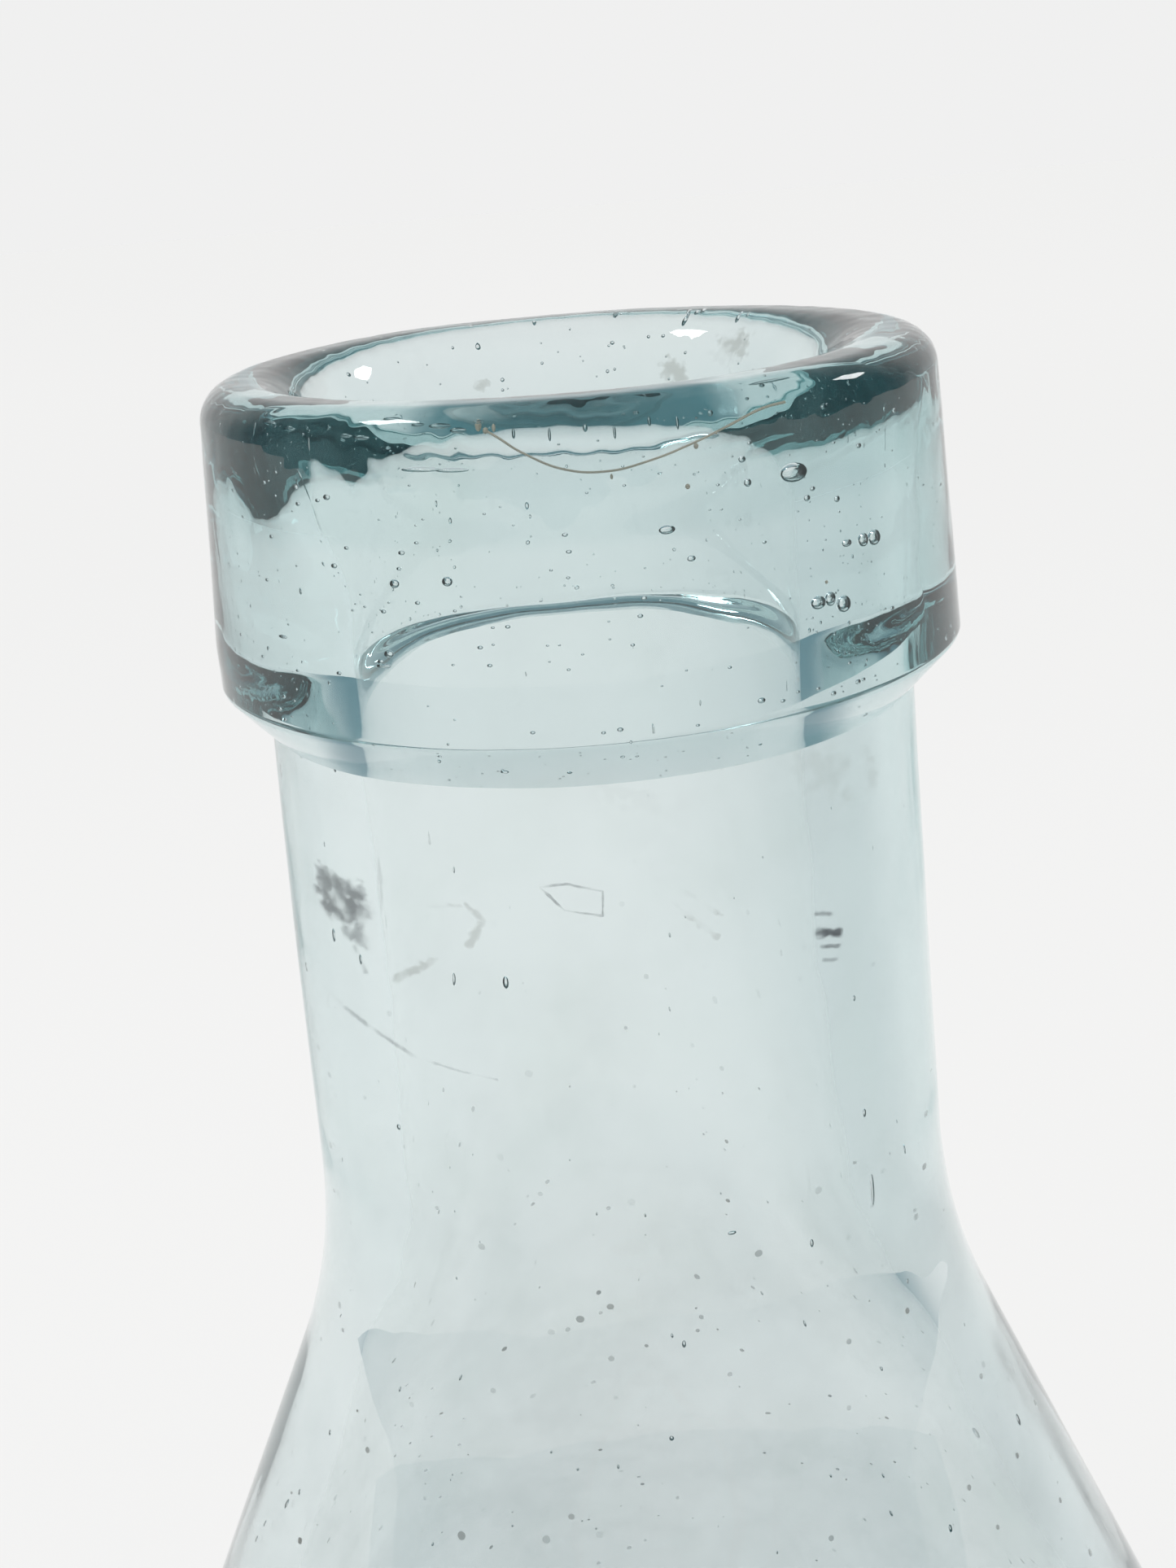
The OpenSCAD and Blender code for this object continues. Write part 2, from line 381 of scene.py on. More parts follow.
# A bubble: a small closed hollow, whose faces point into it, added to the glass round it.
bubble, given = geometry_tree("bubble", number_inputs(
    "Bearing", "Height", "Distance", "Round", "Tall", "Deep"))
hollow = hollow_ball(bubble, 4)
sizes = combined(bubble, given["Round"], given["Deep"], given["Tall"])
turn = combined(bubble, z=given["Bearing"])
spot = combined(bubble, 0.0, maths(bubble, "MULTIPLY", given["Distance"], -1.0), given["Height"])
spot = node(bubble, "ShaderNodeVectorRotate", {
    "Vector": spot, "Angle": given["Bearing"]}, rotation_type="Z_AXIS")
placed = node(bubble, "GeometryNodeTransform", {
    "Geometry": hollow, "Translation": spot.outputs[0], "Rotation": turn, "Scale": sizes})
joined = node(bubble, "GeometryNodeJoinGeometry", {0: placed.outputs[0]})
bubble.links.new(given["Geometry"], joined.inputs[0])
node(bubble, "NodeGroupOutput", {0: joined.outputs[0]})

# Seeds: bubbles as fine as sand, scattered under the outer face, and thickest above a given
# height. Most are small; a few come near the largest size.
seeds, given = geometry_tree("seeds", number_inputs(
    "Density", "Above", "Share Below", "Shallow", "Deep", "Smallest", "Largest",
    "Stretch Round", "Stretch Tall"))
bearing, distance, height, outward = around_axis(seeds)
normal = node(seeds, "GeometryNodeInputNormal").outputs[0]
facing = vector_maths(seeds, "DOT_PRODUCT", normal, outward, result="Value")
open_face = maths(seeds, "LESS_THAN", stored(seeds, "fused"), 0.5)
outer = maths(seeds, "MULTIPLY", maths(seeds, "GREATER_THAN", facing, 0.3), open_face)
thick = maths(seeds, "MAXIMUM", maths(seeds, "GREATER_THAN", height, given["Above"]), given["Share Below"])
scattered = node(seeds, "GeometryNodeDistributePointsOnFaces", {
    "Mesh": given["Geometry"], "Density": maths(seeds, "MULTIPLY", thick, given["Density"]),
    "Selection": outer, "Seed": 7})
depth = node(seeds, "FunctionNodeRandomValue", {2: given["Shallow"], 3: given["Deep"], "Seed": 8})
inward = scaled(seeds, scattered.outputs["Normal"], maths(seeds, "MULTIPLY", depth.outputs[1], -1.0))
sunk = node(seeds, "GeometryNodeSetPosition", {
    "Geometry": scattered.outputs["Points"], "Offset": inward}).outputs[0]
for label in ("fused", "row", "joined_row"):
    sunk = node(seeds, "GeometryNodeRemoveAttribute", {"Geometry": sunk, "Name": label}).outputs[0]
luck = node(seeds, "FunctionNodeRandomValue", {"Seed": 9}).outputs[1]
size = node(seeds, "ShaderNodeMapRange", {
    "Value": maths(seeds, "POWER", luck, 4.0), "To Min": given["Smallest"], "To Max": given["Largest"]})
stretch = combined(seeds, given["Stretch Round"], 0.8, given["Stretch Tall"])
strewn = node(seeds, "GeometryNodeInstanceOnPoints", {
    "Points": sunk, "Instance": hollow_ball(seeds, 2), "Rotation": combined(seeds, z=bearing),
    "Scale": scaled(seeds, stretch, size.outputs[0])}).outputs[0]
joined = node(seeds, "GeometryNodeJoinGeometry", {0: strewn})
seeds.links.new(given["Geometry"], joined.inputs[0])
node(seeds, "NodeGroupOutput", {0: joined.outputs[0]})

# Turning: the outline's points go round the axis, and faces between two joined points are marked
# as fused. Points closer than a weld become one, which closes the seam and the poles.
weld = 0.0001 * mm
turning, given = geometry_tree("turning", [("Segments", "Int")])
points = node(turning, "GeometryNodeAttributeDomainSize", {0: given["Geometry"]}).outputs["Point Count"]
grid = node(turning, "GeometryNodeMeshGrid", {
    "Size X": 1.0, "Size Y": 1.0, "Vertices X": maths(turning, "ADD", given["Segments"], 1.0),
    "Vertices Y": points})
across, along, _ = node(turning, "ShaderNodeSeparateXYZ", {
    0: node(turning, "GeometryNodeInputPosition").outputs[0]}).outputs
angle = maths(turning, "MULTIPLY", maths(turning, "ADD", across, 0.5), 2 * math.pi)
last = maths(turning, "SUBTRACT", points, 1.0)
row = maths(turning, "ROUND", maths(turning, "MULTIPLY", maths(turning, "ADD", along, 0.5), last))
kept_row = node(turning, "GeometryNodeStoreNamedAttribute", {
    "Geometry": grid.outputs[0], "Name": "row", "Value": row}, data_type="FLOAT", domain="POINT")
row = stored(turning, "row")
position = node(turning, "GeometryNodeInputPosition").outputs[0]
outline_place = node(turning, "GeometryNodeSampleIndex", {
    "Geometry": given["Geometry"], "Value": position, "Index": row}, data_type="FLOAT_VECTOR", domain="POINT")
turned = node(turning, "ShaderNodeVectorRotate", {
    "Vector": outline_place.outputs[0], "Angle": angle}, rotation_type="Z_AXIS")
ring = node(turning, "GeometryNodeSetPosition", {
    "Geometry": kept_row.outputs[0], "Position": turned.outputs[0]})
joined_row = node(turning, "GeometryNodeSampleIndex", {
    "Geometry": given["Geometry"], "Value": stored(turning, "joined"), "Index": row},
    data_type="FLOAT", domain="POINT")
kept_joined = node(turning, "GeometryNodeStoreNamedAttribute", {
    "Geometry": ring.outputs[0], "Name": "joined_row", "Value": joined_row.outputs[0]},
    data_type="FLOAT", domain="POINT")
both_ends = maths(turning, "GREATER_THAN", stored(turning, "joined_row"), 0.9)
fused = node(turning, "GeometryNodeStoreNamedAttribute", {
    "Geometry": kept_joined.outputs[0], "Name": "fused", "Value": both_ends},
    data_type="FLOAT", domain="FACE")
closed = node(turning, "GeometryNodeMergeByDistance", {"Geometry": fused.outputs[0], "Distance": weld})
node(turning, "NodeGroupOutput", {0: closed.outputs[0]})


sharp_edge = math.radians(25)


def blown(name, stretches, segments, presses, lumps, bubbles, fine, material):
    """Turns an outline into glass. A stretch is a list of points, with True if it is fused."""
    outline = [point for points, joined in stretches for point in points]
    joined = [float(joined) for points, joined in stretches for point in points]
    mesh = bpy.data.meshes.new(name)
    mesh.from_pydata([(r, 0, z) for r, z in outline], [(i, i + 1) for i in range(len(outline) - 1)], [])
    mesh.attributes.new("joined", "FLOAT", "POINT").data.foreach_set("value", joined)
    turner = bpy.data.objects.new(name + "_outline", mesh)
    bpy.context.collection.objects.link(turner)

    tree, given = geometry_tree(name, [("Segments", "Int"), ("Material", "Material")])

    def step(group, values):
        return node(tree, "GeometryNodeGroup", {"Geometry": shape, **values}, node_tree=group).outputs[0]

    shape = given["Geometry"]
    shape = step(turning, {"Segments": given["Segments"]})
    for bearing, height, distance, round_deg, tall, deep, outward, up in presses:
        shape = step(press, {
            "Bearing": math.radians(bearing), "Height": height * mm, "Distance": distance * mm,
            "Round": math.radians(round_deg), "Tall": tall * mm, "Deep": deep * mm,
            "Outward": outward * mm, "Up": up * mm})
    for lump, amount, seed, low, high, loose in lumps:
        shape = step(wobble, {
            "Lump": lump * mm, "Amount": amount * mm, "Seed": float(seed), "None Below": low * mm,
            "All Above": high * mm, "Loose": float(loose)})
    fold = node(tree, "GeometryNodeInputMeshEdgeAngle").outputs["Unsigned Angle"]
    soft = maths(tree, "LESS_THAN", fold, sharp_edge)
    shape = smooth(tree, smooth(tree, shape), soft, "EDGE")
    if fine:
        shape = step(seeds, fine)
    for bearing, height, distance, round_size, tall, deep in bubbles:
        shape = step(bubble, {
            "Bearing": math.radians(bearing), "Height": height * mm, "Distance": distance * mm,
            "Round": round_size * mm, "Tall": tall * mm, "Deep": deep * mm})
    shape = node(tree, "GeometryNodeRealizeInstances", {"Geometry": shape}).outputs[0]
    coated = node(tree, "GeometryNodeSetMaterial", {"Geometry": shape, "Material": given["Material"]})
    node(tree, "NodeGroupOutput", {0: coated.outputs[0]})

    modifier = turner.modifiers.new("blown", "NODES")
    modifier.node_group = tree
    names = {item.name: item.identifier for item in tree.interface.items_tree if item.in_out == "INPUT"}
    modifier[names["Segments"]] = segments
    modifier[names["Material"]] = material
    finished = bpy.data.meshes.new_from_object(turner.evaluated_get(bpy.context.evaluated_depsgraph_get()))
    finished.name = name
    bpy.data.objects.remove(turner)
    made = bpy.data.objects.new(name, finished)
    bpy.context.collection.objects.link(made)
    return made


# Lumps of the soft glass: size, amount, seed, the heights between which they grow, and 1 if they
# spare what is fused.
lumps = [(16, 0.25, 1, 2, 30, 0), (5, 0.05, 2, 2, 30, 0), (1.6, 0.015, 3, 2, 30, 0)]
# Marks of the hand and of the lipping tool that both the neck and the collar on it carry:
# bearing, height, distance, then how far round, tall and deep they reach, then outward and up.
bore_marks = [
    (-90, 232, 9.5, 110, 45, 4.3, 0.45, 0),
    (90, 232, 9.5, 110, 45, 4.3, -0.35, 0),
    (-67.5, 244.5, 9.5, 22, 7.5, 4, 0.8, 0),
]


# Wear of old glass: a fine ripple all over, and places that are a little dull.
glass_wear = bpy.data.node_groups.new("worn_glass", "ShaderNodeTree")
for label in ("Ripple", "Haze"):
    glass_wear.interface.new_socket(label, in_out="INPUT", socket_type="NodeSocketFloat")
for label, kind in (("Color", "Color"), ("Roughness", "Float"), ("Normal", "Vector")):
    glass_wear.interface.new_socket(label, in_out="OUTPUT", socket_type=f"NodeSocket{kind}")
given = node(glass_wear, "NodeGroupInput").outputs
place = node(glass_wear, "ShaderNodeTexCoord").outputs["Object"]
slow = node(glass_wear, "ShaderNodeTexNoise", {"Vector": place, "Scale": 160.0, "Detail": 2.0}).outputs[0]
fine = node(glass_wear, "ShaderNodeTexNoise", {"Vector": place, "Scale": 900.0, "Detail": 3.0}).outputs[0]
height = maths(glass_wear, "MULTIPLY_ADD", fine, 0.15, slow)
bump = node(glass_wear, "ShaderNodeBump", {
    "Strength": given["Ripple"], "Distance": 0.03 * mm, "Height": height})
dull = smooth_step(glass_wear, slow, 0.5, 0.75)
rough = maths(glass_wear, "MULTIPLY", maths(glass_wear, "MULTIPLY", dull, fine), given["Haze"])
tint = blend(glass_wear, dull, (1, 1, 1, 1), (0.97, 0.98, 0.97, 1))
node(glass_wear, "NodeGroupOutput", {0: tint, 1: rough, 2: bump.outputs[0]})
glass_ior = 1.52


def glass(name, absorb, density, ripple, haze):
    """Clear glass that absorbs light inside, dull where it is worn, and open where it is fused."""
    material = bpy.data.materials.new(name)
    material.use_nodes = True
    tree = material.node_tree
    shader = tree.nodes["Principled BSDF"]
    shader.inputs["IOR"].default_value = glass_ior
    shader.inputs["Transmission Weight"].default_value = 1
    wear = node(tree, "ShaderNodeGroup", node_tree=glass_wear)
    wear.inputs["Ripple"].default_value = ripple
    wear.inputs["Haze"].default_value = haze
    tree.links.new(wear.outputs["Color"], shader.inputs["Base Color"])
    tree.links.new(wear.outputs["Roughness"], shader.inputs["Roughness"])
    tree.links.new(wear.outputs["Normal"], shader.inputs["Normal"])
    mark = node(tree, "ShaderNodeAttribute", attribute_name="fused").outputs["Fac"]
    tree.links.new(maths(tree, "SUBTRACT", 1.0, mark), shader.inputs["Alpha"])
    volume = node(tree, "ShaderNodeVolumeAbsorption", {"Color": absorb, "Density": density})
    tree.links.new(volume.outputs[0], tree.nodes["Material Output"].inputs["Volume"])
    return material


body_glass = glass("body_glass", (0.42, 0.70, 0.71, 1), 40, 0.1, 0.0)
body_seeds = {
    "Density": 0.03 / mm**2, "Above": 170 * mm, "Share Below": 0.1, "Shallow": 0.4 * mm, "Deep": 1.6 * mm,
    "Smallest": 0.03 * mm, "Largest": 0.22 * mm, "Stretch Round": 0.7, "Stretch Tall": 1.5}
# Bubbles: bearing, height and distance from the axis, then half their size round, tall and deep.
body_bubbles = [
    (47.6, 210.6, 12.7, 0.1, 0.72, 0.1),
    (-44.9, 215.4, 12.6, 0.1, 0.12, 0.08),
    (16.7, 211.1, 12.6, 0.17, 0.08, 0.08),
]
body_segments = 280
body_outline = [
    (dome_top, False), (dome_scar, True), (outside, False), (seat, True), (inside[-2::-1], False)]
body = blown("blown_body_glass", body_outline, body_segments, bore_marks, lumps, body_bubbles, body_seeds,
             body_glass)
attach(body, "root")
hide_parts("blown_body")

# ---------------------------------------------------------------------------------------------
# Applied collar: a ribbon of hotter glass laid round the neck's cut end, which it laps over, and
# squeezed to shape with a lipping tool. It is full of fine seeds, with larger bubbles at the right.
# ---------------------------------------------------------------------------------------------
collar_overhang = 2 * mm
collar_r = neck_r + collar_overhang
lip_r = collar_r - 0.7 * mm
collar_edge_r = 0.6 * mm
lip_outer_r = 1.5 * mm
# Fused glass has no face inside it: both skins are clear there, and lie this far apart.
gap = 0.004 * mm
bevel_angle = math.atan2(collar_bevel_h, collar_overhang)
face_lean = math.atan2(collar_r - lip_r, collar_band_h)
edge_back = collar_edge_r * math.tan((quarter - bevel_angle + face_lean) / 2)
lip_back = lip_outer_r * math.tan((quarter - face_lean) / 2)
edge_centre = (
    collar_r - edge_back * math.cos(bevel_angle) - collar_edge_r * math.sin(bevel_angle),
    collar_edge_z - edge_back * math.sin(bevel_angle) + collar_edge_r * math.cos(bevel_angle),
)
edge_arc = arc(edge_centre, collar_edge_r, bevel_angle - quarter, face_lean)
lip_arc = arc((lip_r - lip_back, total_h - lip_outer_r), lip_outer_r, face_lean, quarter)
flare_from = 2 * quarter - mouth_flare_angle
roll_r = mouth_r + mouth_flare_r - (mouth_flare_r - lip_inner_r) * math.cos(mouth_flare_angle)
mouth_arc = arc((roll_r, total_h - lip_inner_r), lip_inner_r, quarter, flare_from, math.radians(4))
mouth_centre = (mouth_r + mouth_flare_r, mouth_flare_z)
mouth_arc += arc(mouth_centre, mouth_flare_r, flare_from, 2 * quarter, math.radians(2))[1:]
in_r, in_z = neck_r + gap, neck_end_z + gap
collar_seat = line((mouth_r, in_z), (in_r, in_z), 4) + line((in_r, in_z), (in_r, collar_foot_z), 12)
collar_seat += [(in_r, collar_foot_z)]
collar_skin = (
    line((in_r, collar_foot_z), edge_arc[0], 10)[1:] + edge_arc
    + line(edge_arc[-1], lip_arc[0], 30)[1:] + lip_arc
    + line(lip_arc[-1], mouth_arc[0], 3)[1:] + mouth_arc
    + line(mouth_arc[-1], (mouth_r, in_z), 2)[1:]
)
collar_marks = [
    (180, 232.9, 15.6, 120, 3.0, 2.0, 0, -1.8),
    (-90, 232.8, 15.6, 50, 2, 2.0, -0.15, 0.0),
]
collar_seeds = {
    "Density": 0.42 / mm**2, "Above": 0.0, "Share Below": 1.0, "Shallow": 0.15 * mm, "Deep": 1.3 * mm,
    "Smallest": 0.038 * mm, "Largest": 0.13 * mm, "Stretch Round": 1.3, "Stretch Tall": 0.9}
collar_bubbles = [
    (32.7, 241.4, 14.2, 0.58, 0.36, 0.4),
    (24.9, 241.35, 14.2, 0.15, 0.15, 0.15),
    (24.4, 242.2, 14.1, 0.14, 0.12, 0.12),
    (34.6, 240.4, 14.3, 0.14, 0.12, 0.12),
    (40.3, 240.1, 14.3, 0.14, 0.12, 0.12),
    (12.3, 240.1, 14.2, 0.3, 0.17, 0.2),
    (47.6, 238.3, 14.4, 0.33, 0.3, 0.35),
    (44.9, 238.35, 14.45, 0.26, 0.26, 0.3),
    (41.5, 238.4, 14.4, 0.24, 0.14, 0.2),
    (35.0, 236.5, 14.5, 0.34, 0.25, 0.3),
    (37.5, 236.5, 14.4, 0.24, 0.27, 0.25),
    (39.8, 236.2, 14.5, 0.32, 0.32, 0.35),
    (-27.7, 238.7, 14.3, 0.19, 0.16, 0.16),
    (-19.4, 238.8, 14.3, 0.2, 0.18, 0.18),
    (-29.4, 236.1, 14.5, 0.2, 0.15, 0.16),
    (-30.9, 235.8, 14.5, 0.13, 0.1, 0.1),
    (-49.8, 236.3, 14.6, 0.25, 0.07, 0.1),
    (-30.0, 235.7, 14.8, 0.3, 0.08, 0.1),
    (-49.8, 244.24, 14.35, 0.42, 0.09, 0.06),
    (-44.8, 244.12, 14.4, 0.34, 0.09, 0.06),
    (-33.5, 244.0, 14.45, 0.3, 0.07, 0.06),
    (-30.8, 243.95, 14.45, 0.34, 0.08, 0.06),
    (-26.4, 244.46, 14.05, 0.36, 0.08, 0.06),
    (-18.6, 244.26, 14.25, 0.42, 0.1, 0.07),
    (-15.8, 244.12, 14.35, 0.3, 0.1, 0.07),
    (-22.4, 242.78, 13.85, 0.75, 0.09, 0.1),
    (-17.6, 242.72, 13.8, 0.6, 0.08, 0.1),
    (31.0, 244.55, 13.9, 0.9, 0.07, 0.06),
    (-54.0, 243.9, 14.2, 0.06, 0.2, 0.06),
    (-41.0, 243.6, 14.2, 0.05, 0.22, 0.05),
    (-37.0, 244.2, 14.3, 0.12, 0.08, 0.06),
    (-22.0, 244.3, 14.2, 0.25, 0.07, 0.06),
    (-13.0, 244.3, 14.1, 0.2, 0.06, 0.06),
    (-8.0, 243.9, 14.2, 0.06, 0.16, 0.06),
    (-3.0, 243.8, 14.25, 0.05, 0.2, 0.05),
    (2.0, 243.9, 14.2, 0.08, 0.12, 0.06),
    (6.0, 243.7, 14.25, 0.05, 0.2, 0.05),
    (11.0, 243.9, 14.2, 0.06, 0.15, 0.06),
    (15.0, 243.75, 14.2, 0.05, 0.2, 0.05),
    (20.0, 243.9, 14.2, 0.1, 0.1, 0.06),
]
collar_glass = glass("collar_glass", (0.24, 0.57, 0.58, 1), 55, 0.1, 0.0)
collar_segments = 400
collar_outline = [(collar_seat, True), (collar_skin, False), ([(mouth_r, in_z)], True)]
# The lip was melted once more, and is rippled finely.
lip_lumps = [(0.8, 0.03, 4, 240.5, 243, 0)]
collar = blown("applied_collar_glass", collar_outline, collar_segments, bore_marks + collar_marks,
               lumps + lip_lumps, collar_bubbles, collar_seeds, collar_glass)
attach(collar, "root")
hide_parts("applied_collar")

# ---------------------------------------------------------------------------------------------
# Lime film: what water and drink left on the inside, a skin thinner than paper that is bonded to
# the glass, so it lies just under the inner face. It carries cloudy patches, specks, the tide
# line and smears that the cork left in the neck, and two brown stains on the back of the mouth.
# ---------------------------------------------------------------------------------------------
film_depth = 0.06 * mm
film_foot_z = 22 * mm
film_line = [(r + film_depth, z) for r, z in inside if z > film_foot_z][:-1]
film_line += arc(mouth_centre, mouth_flare_r - film_depth, 2 * quarter, flare_from, math.radians(3))
film_end = 1.35 * quarter
film_line += arc((roll_r, total_h - lip_inner_r), lip_inner_r - film_depth, flare_from, film_end)[1:]

# A streak is what lies near a line between two places: a smear, or a spot if they are the same.
streak = bpy.data.node_groups.new("streak", "ShaderNodeTree")
for label in ("Round", "Height", "Warp", "From Round", "From Height", "To Round", "To Height",
              "Half Width", "Strength"):
    streak.interface.new_socket(label, in_out="INPUT", socket_type="NodeSocketFloat")
streak.interface.new_socket("Cover", in_out="OUTPUT", socket_type="NodeSocketFloat")
given = node(streak, "NodeGroupInput").outputs
run_x = maths(streak, "SUBTRACT", given["To Round"], given["From Round"])
run_y = maths(streak, "SUBTRACT", given["To Height"], given["From Height"])
off_x = maths(streak, "SUBTRACT", given["Round"], given["From Round"])
off_y = maths(streak, "SUBTRACT", given["Height"], given["From Height"])
length = maths(streak, "MULTIPLY_ADD", run_x, run_x, maths(streak, "MULTIPLY_ADD", run_y, run_y, 0.0001))
along = maths(streak, "MULTIPLY_ADD", off_x, run_x, maths(streak, "MULTIPLY", off_y, run_y))
along = node(streak, "ShaderNodeMath", {
    0: maths(streak, "DIVIDE", along, length), 1: 0.0}, operation="ADD", use_clamp=True)
away_x = maths(streak, "SUBTRACT", off_x, maths(streak, "MULTIPLY", along.outputs[0], run_x))
away_y = maths(streak, "SUBTRACT", off_y, maths(streak, "MULTIPLY", along.outputs[0], run_y))
away = maths(streak, "MULTIPLY_ADD", away_x, away_x, maths(streak, "MULTIPLY", away_y, away_y))
away = maths(streak, "SQRT", away)
away = maths(streak, "MULTIPLY_ADD", given["Warp"], given["Half Width"], away)
mask = smooth_step(streak, maths(streak, "DIVIDE", away, given["Half Width"]), 0.1, 1.0, 1.0, 0.0)
node(streak, "NodeGroupOutput", {0: maths(streak, "MULTIPLY", mask, given["Strength"])})

# Streaks: bearing and height of both ends, half the width in mm, strength.
grey_marks = [
    (-74, 224.6, -60, 224.4, 0.75, 0.42),
    (-75, 224.0, -59, 223.9, 0.75, 0.46),
    (-74, 223.3, -61, 223.4, 0.7, 0.46),
    (-67, 222.6, -60, 222.5, 0.5, 0.3),
    (-64, 222.0, -61, 221.1, 0.25, 0.2),
    (48.5, 222.6, 53.0, 222.35, 0.16, 0.28),
    (48.5, 221.75, 55.5, 221.35, 0.27, 0.62),
    (49.5, 221.1, 55.0, 220.8, 0.14, 0.34),
    (50.0, 220.5, 54.0, 220.25, 0.12, 0.22),
    (-80, 219.3, -60, 218.5, 0.16, 0.2),
    (-60, 218.5, -47.7, 217.9, 0.14, 0.26),
    (-47.7, 217.9, -27.5, 217.5, 0.1, 0.2),
    (-38, 227.9, -38, 227.4, 0.05, 0.4),
    (-14.2, 225.8, -8.5, 225.9, 0.07, 0.42),
    (-8.5, 225.9, -1.2, 225.5, 0.07, 0.36),
    (-1.2, 225.5, -1.6, 224.5, 0.07, 0.42),
    (-1.6, 224.5, -9.4, 224.8, 0.07, 0.36),
    (-9.4, 224.8, -14.2, 225.8, 0.07, 0.42),
]
tan_marks = [
    (-52, 221.1, -40, 222.4, 0.26, 0.26),
    (-31, 223.3, -27, 224.3, 0.26, 0.24),
    (-27, 224.3, -31, 225.0, 0.2, 0.2),
    (-40, 224.7, -32, 224.9, 0.16, 0.14),
    (13.6, 224.6, 22.5, 222.9, 0.22, 0.2),
    (16.0, 225.0, 23.5, 223.8, 0.18, 0.2),
    (4, 229.4, 14, 228.8, 1.6, 0.06),
    (46, 229.5, 62, 227.5, 1.8, 0.08),
    (66, 230.0, 72, 227.0, 1.0, 0.08),
    (134, 243.6, 137, 243.4, 0.9, 0.3),
    (150, 242.3, 152, 242.7, 0.7, 0.28),
    (-159, 242.6, -157, 242.5, 0.3, 0.25),
]

lime = bpy.data.node_groups.new("lime", "ShaderNodeTree")
for label in ("Cloud", "Specks", "Marks"):
    lime.interface.new_socket(label, in_out="INPUT", socket_type="NodeSocketFloat")
for label, kind in (("Color", "Color"), ("Cover", "Float")):
    lime.interface.new_socket(label, in_out="OUTPUT", socket_type=f"NodeSocket{kind}")
given = node(lime, "NodeGroupInput").outputs
place = node(lime, "ShaderNodeTexCoord").outputs["Object"]
x, y, height = node(lime, "ShaderNodeSeparateXYZ", {0: place}).outputs
patchy = node(lime, "ShaderNodeTexNoise", {
    "Vector": place, "Scale": 110.0, "Detail": 5.0, "Roughness": 0.62}).outputs[0]
grainy = node(lime, "ShaderNodeTexNoise", {
    "Vector": place, "Scale": 700.0, "Detail": 2.0, "Roughness": 0.5}).outputs[0]
cloud = maths(lime, "MULTIPLY", smooth_step(lime, patchy, 0.38, 0.72, 0.25, 1.0),
              smooth_step(lime, grainy, 0.3, 0.7, 0.85, 1.0))
settled = smooth_step(lime, height, 195 * mm, 222 * mm, 1.0, 0.45)
cloud = maths(lime, "MULTIPLY", maths(lime, "MULTIPLY", cloud, settled), given["Cloud"])
cells = node(lime, "ShaderNodeTexVoronoi", {"Vector": place, "Scale": 900.0, "Randomness": 1.0})
pick = node(lime, "ShaderNodeSeparateColor", {0: cells.outputs["Color"]}).outputs
speck_size = smooth_step(lime, pick[0], 0.25, 1.0, 0.0, 0.15)
warped = maths(lime, "MULTIPLY_ADD", grainy, 0.08, maths(lime, "SUBTRACT", cells.outputs["Distance"], 0.04))
speck = maths(lime, "LESS_THAN", warped, speck_size)
speck = maths(lime, "MULTIPLY", speck, smooth_step(lime, height, 200 * mm, 226 * mm, 1.0, 0.0))
speck_cover = maths(lime, "MULTIPLY", given["Specks"], smooth_step(lime, pick[1], 0, 1, 0.3, 1))
speck = maths(lime, "MULTIPLY", speck, speck_cover)
speck_colour = blend(lime, pick[2], (0.10, 0.12, 0.115, 1), (0.22, 0.17, 0.10, 1))
around = maths(lime, "MULTIPLY", maths(lime, "ARCTAN2", x, maths(lime, "MULTIPLY", y, -1.0)), mouth_r / mm)
height_mm = maths(lime, "DIVIDE", height, mm)
fine_grain = node(lime, "ShaderNodeTexNoise", {"Vector": place, "Scale": 2600.0, "Detail": 3.0}).outputs[0]
warp = maths(lime, "MULTIPLY", maths(lime, "SUBTRACT", fine_grain, 0.5), 2.0)
broken = smooth_step(lime, grainy, 0.38, 0.56, 0.3, 1.15)


def marked(streaks):
    """The strongest of the streaks at each place."""
    strongest = 0.0
    for bearing_a, height_a, bearing_b, height_b, half_width, strength in streaks:
        mark = node(lime, "ShaderNodeGroup", node_tree=streak)
        lime.links.new(around, mark.inputs["Round"])
        lime.links.new(height_mm, mark.inputs["Height"])
        lime.links.new(warp, mark.inputs["Warp"])
        mark.inputs["From Round"].default_value = math.radians(bearing_a) * mouth_r / mm
        mark.inputs["From Height"].default_value = height_a
        mark.inputs["To Round"].default_value = math.radians(bearing_b) * mouth_r / mm
        mark.inputs["To Height"].default_value = height_b
        mark.inputs["Half Width"].default_value = half_width
        mark.inputs["Strength"].default_value = strength
        strongest = maths(lime, "MAXIMUM", mark.outputs[0], strongest)
    return maths(lime, "MULTIPLY", maths(lime, "MULTIPLY", strongest, broken), given["Marks"])


grey, tan = marked(grey_marks), marked(tan_marks)
colour = blend(lime, speck, (0.9, 0.92, 0.92, 1), speck_colour)
for share, tone in ((tan, (0.40, 0.33, 0.22, 1)), (grey, (0.10, 0.12, 0.15, 1))):
    colour = blend(lime, smooth_step(lime, share, 0.0, 0.12), colour, tone)
cover = maths(lime, "MAXIMUM", maths(lime, "MAXIMUM", cloud, speck), maths(lime, "MAXIMUM", grey, tan))
node(lime, "NodeGroupOutput", {0: colour, 1: cover})

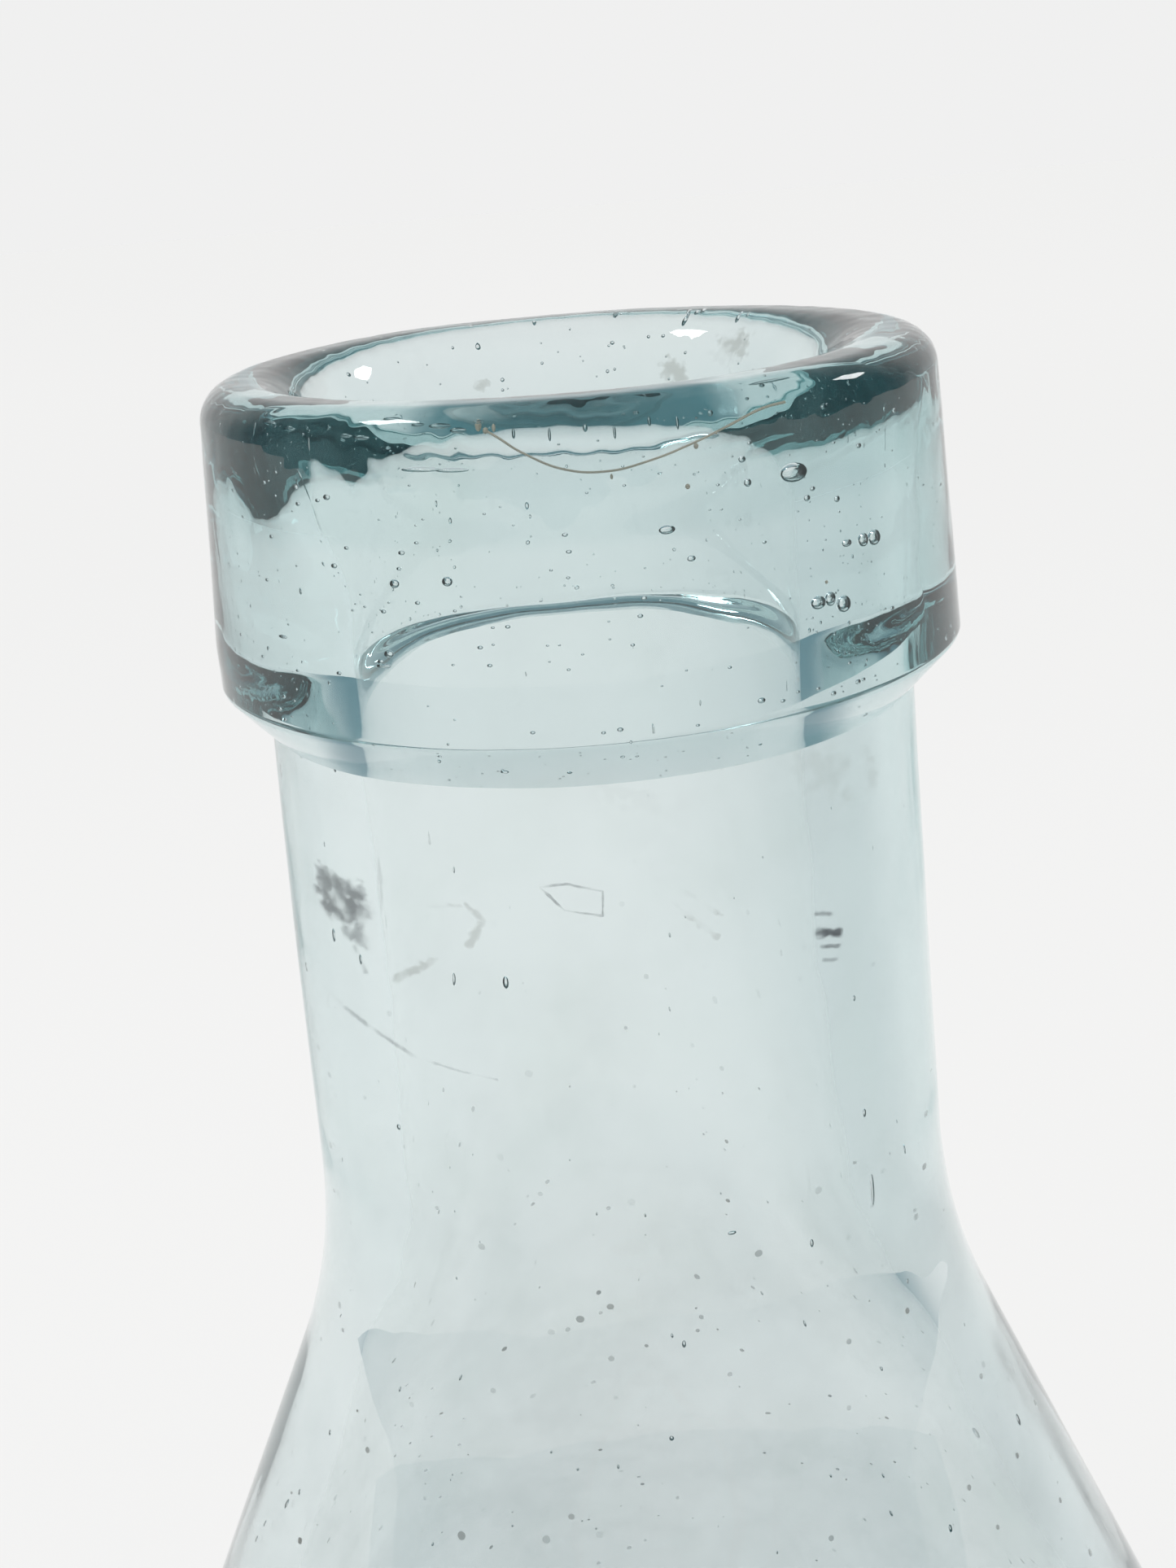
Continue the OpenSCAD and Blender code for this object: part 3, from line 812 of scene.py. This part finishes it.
film_coat = bpy.data.materials.new("lime_film")
film_coat.use_nodes = True
tree = film_coat.node_tree
coat = node(tree, "ShaderNodeGroup", node_tree=lime)
coat.inputs["Cloud"].default_value = 0.16
coat.inputs["Specks"].default_value = 0.75
coat.inputs["Marks"].default_value = 1.0
front = tree.nodes["Principled BSDF"]
front.inputs["Roughness"].default_value = 1
front.inputs["Specular IOR Level"].default_value = 0
tree.links.new(coat.outputs["Color"], front.inputs["Base Color"])
behind = node(tree, "ShaderNodeBsdfTranslucent", {"Color": coat.outputs["Color"]})
scatter = node(tree, "ShaderNodeMixShader", {0: 0.6, 1: front.outputs[0], 2: behind.outputs[0]})
clear = node(tree, "ShaderNodeBsdfTransparent")
cover = node(tree, "ShaderNodeMixShader", {
    0: coat.outputs["Cover"], 1: clear.outputs[0], 2: scatter.outputs[0]})
tree.links.new(cover.outputs[0], tree.nodes["Material Output"].inputs["Surface"])
film = blown("lime_film", [(film_line[::-1], False)], body_segments, bore_marks, lumps, [], None, film_coat)
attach(film, "root")

# ---------------------------------------------------------------------------------------------
# Lip fold: where the hot collar was laid over, a thread of ash was trapped under the front lip,
# with a knot at its left end. A few brown grains of pot clay lie in the collar's glass.
# ---------------------------------------------------------------------------------------------
fold_places = [
    (-12.2, 244.0, 14.0), (-9.8, 243.7, 14.1), (-7.2, 243.3, 14.15), (-1.7, 242.62, 14.2),
    (4.4, 242.4, 14.25), (10.8, 242.63, 14.25), (16.8, 243.03, 14.25), (23.2, 243.5, 14.2),
    (28.7, 243.8, 14.15), (32.3, 243.85, 14.15)]
fold_r = 0.042 * mm
thread = bpy.data.curves.new("lip_fold", "CURVE")
thread.dimensions = "3D"
thread.bevel_depth = fold_r
thread.bevel_resolution = 2
thread.use_fill_caps = True
run = thread.splines.new("BEZIER")
run.bezier_points.add(len(fold_places) - 1)
for point, (bearing, height, distance) in zip(run.bezier_points, fold_places):
    turn = math.radians(bearing)
    point.co = (distance * mm * math.sin(turn), -distance * mm * math.cos(turn), height * mm)
    point.handle_left_type = point.handle_right_type = "AUTO"
thread_curve = bpy.data.objects.new("lip_fold_curve", thread)
bpy.context.collection.objects.link(thread_curve)
fold_mesh = bpy.data.meshes.new_from_object(thread_curve.evaluated_get(bpy.context.evaluated_depsgraph_get()))
bpy.data.objects.remove(thread_curve)
shape = bmesh.new()
shape.from_mesh(fold_mesh)
bmesh.ops.remove_doubles(shape, verts=shape.verts, dist=weld)
bmesh.ops.holes_fill(shape, edges=[edge for edge in shape.edges if edge.is_boundary])
for bearing, height, distance, radius, stretch in (
    (-13.2, 244.12, 13.9, 0.12, 1.6),
    (-12.1, 243.98, 14.0, 0.10, 1.0),
    (-10.9, 244.05, 14.0, 0.07, 1.8),
    (5.1, 242.2, 14.25, 0.05, 2.0),
    (17.4, 242.93, 14.25, 0.09, 1.2),
    (20.6, 243.3, 14.2, 0.05, 1.4),
    (15.7, 241.55, 14.3, 0.09, 1.1),
    (36.6, 237.2, 14.6, 0.07, 1.0),
):
    turn = math.radians(bearing)
    spot = Vector((distance * mm * math.sin(turn), -distance * mm * math.cos(turn), height * mm))
    grain = Matrix.Translation(spot) @ Matrix.Rotation(turn, 4, "Z") @ Matrix.Diagonal((1, 1, stretch, 1))
    bmesh.ops.create_icosphere(shape, subdivisions=2, radius=radius * mm, matrix=grain)
bmesh.ops.recalc_face_normals(shape, faces=shape.faces)
shape.to_mesh(fold_mesh)
shape.free()
fold = bpy.data.objects.new("lip_fold", fold_mesh)
bpy.context.collection.objects.link(fold)
grit = bpy.data.materials.new("fold_grit")
grit.use_nodes = True
shader = grit.node_tree.nodes["Principled BSDF"]
shader.inputs["Base Color"].default_value = (0.56, 0.53, 0.44, 1)
shader.inputs["Roughness"].default_value = 0.8
fold_mesh.materials.clear()
fold_mesh.materials.append(grit)
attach(fold, "root")

# ---------------------------------------------------------------------------------------------
# Pontil scar: the ring of glass that tore off the rod when the finished bottle was cracked away.
# Its face to the push-up is fused; the rest is rough and uneven.
# ---------------------------------------------------------------------------------------------
pontil_t = 1.2 * mm
room_for_lumps = 0.86
fullness = 0.6
bead_parts = 20
scar_segments = 220
scar_face = [(r, z - gap) for r, z in dome_scar]
bead = []
for i in range(1, bead_parts):
    lean = quarter - scar_to + (scar_to - scar_from) * i / bead_parts
    swell = pontil_t * room_for_lumps * math.sin(math.pi * i / bead_parts) ** fullness
    reach = dome_r - gap - swell
    bead.append((reach * math.cos(lean), dome_z + reach * math.sin(lean)))
scar_outline = [(scar_face[:1], True), (bead[::-1], False), (scar_face[::-1], True)]
scar_lumps = [(3.0, 0.5, 11, -2, -1, 1), (0.9, 0.22, 12, -2, -1, 1)]
pontil_glass = glass("pontil_glass", (0.24, 0.57, 0.58, 1), 50, 0.8, 0.25)
scar = blown("pontil_scar_glass", scar_outline, scar_segments, [], scar_lumps, [], None, pontil_glass)
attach(scar, "root")
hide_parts("pontil_scar")
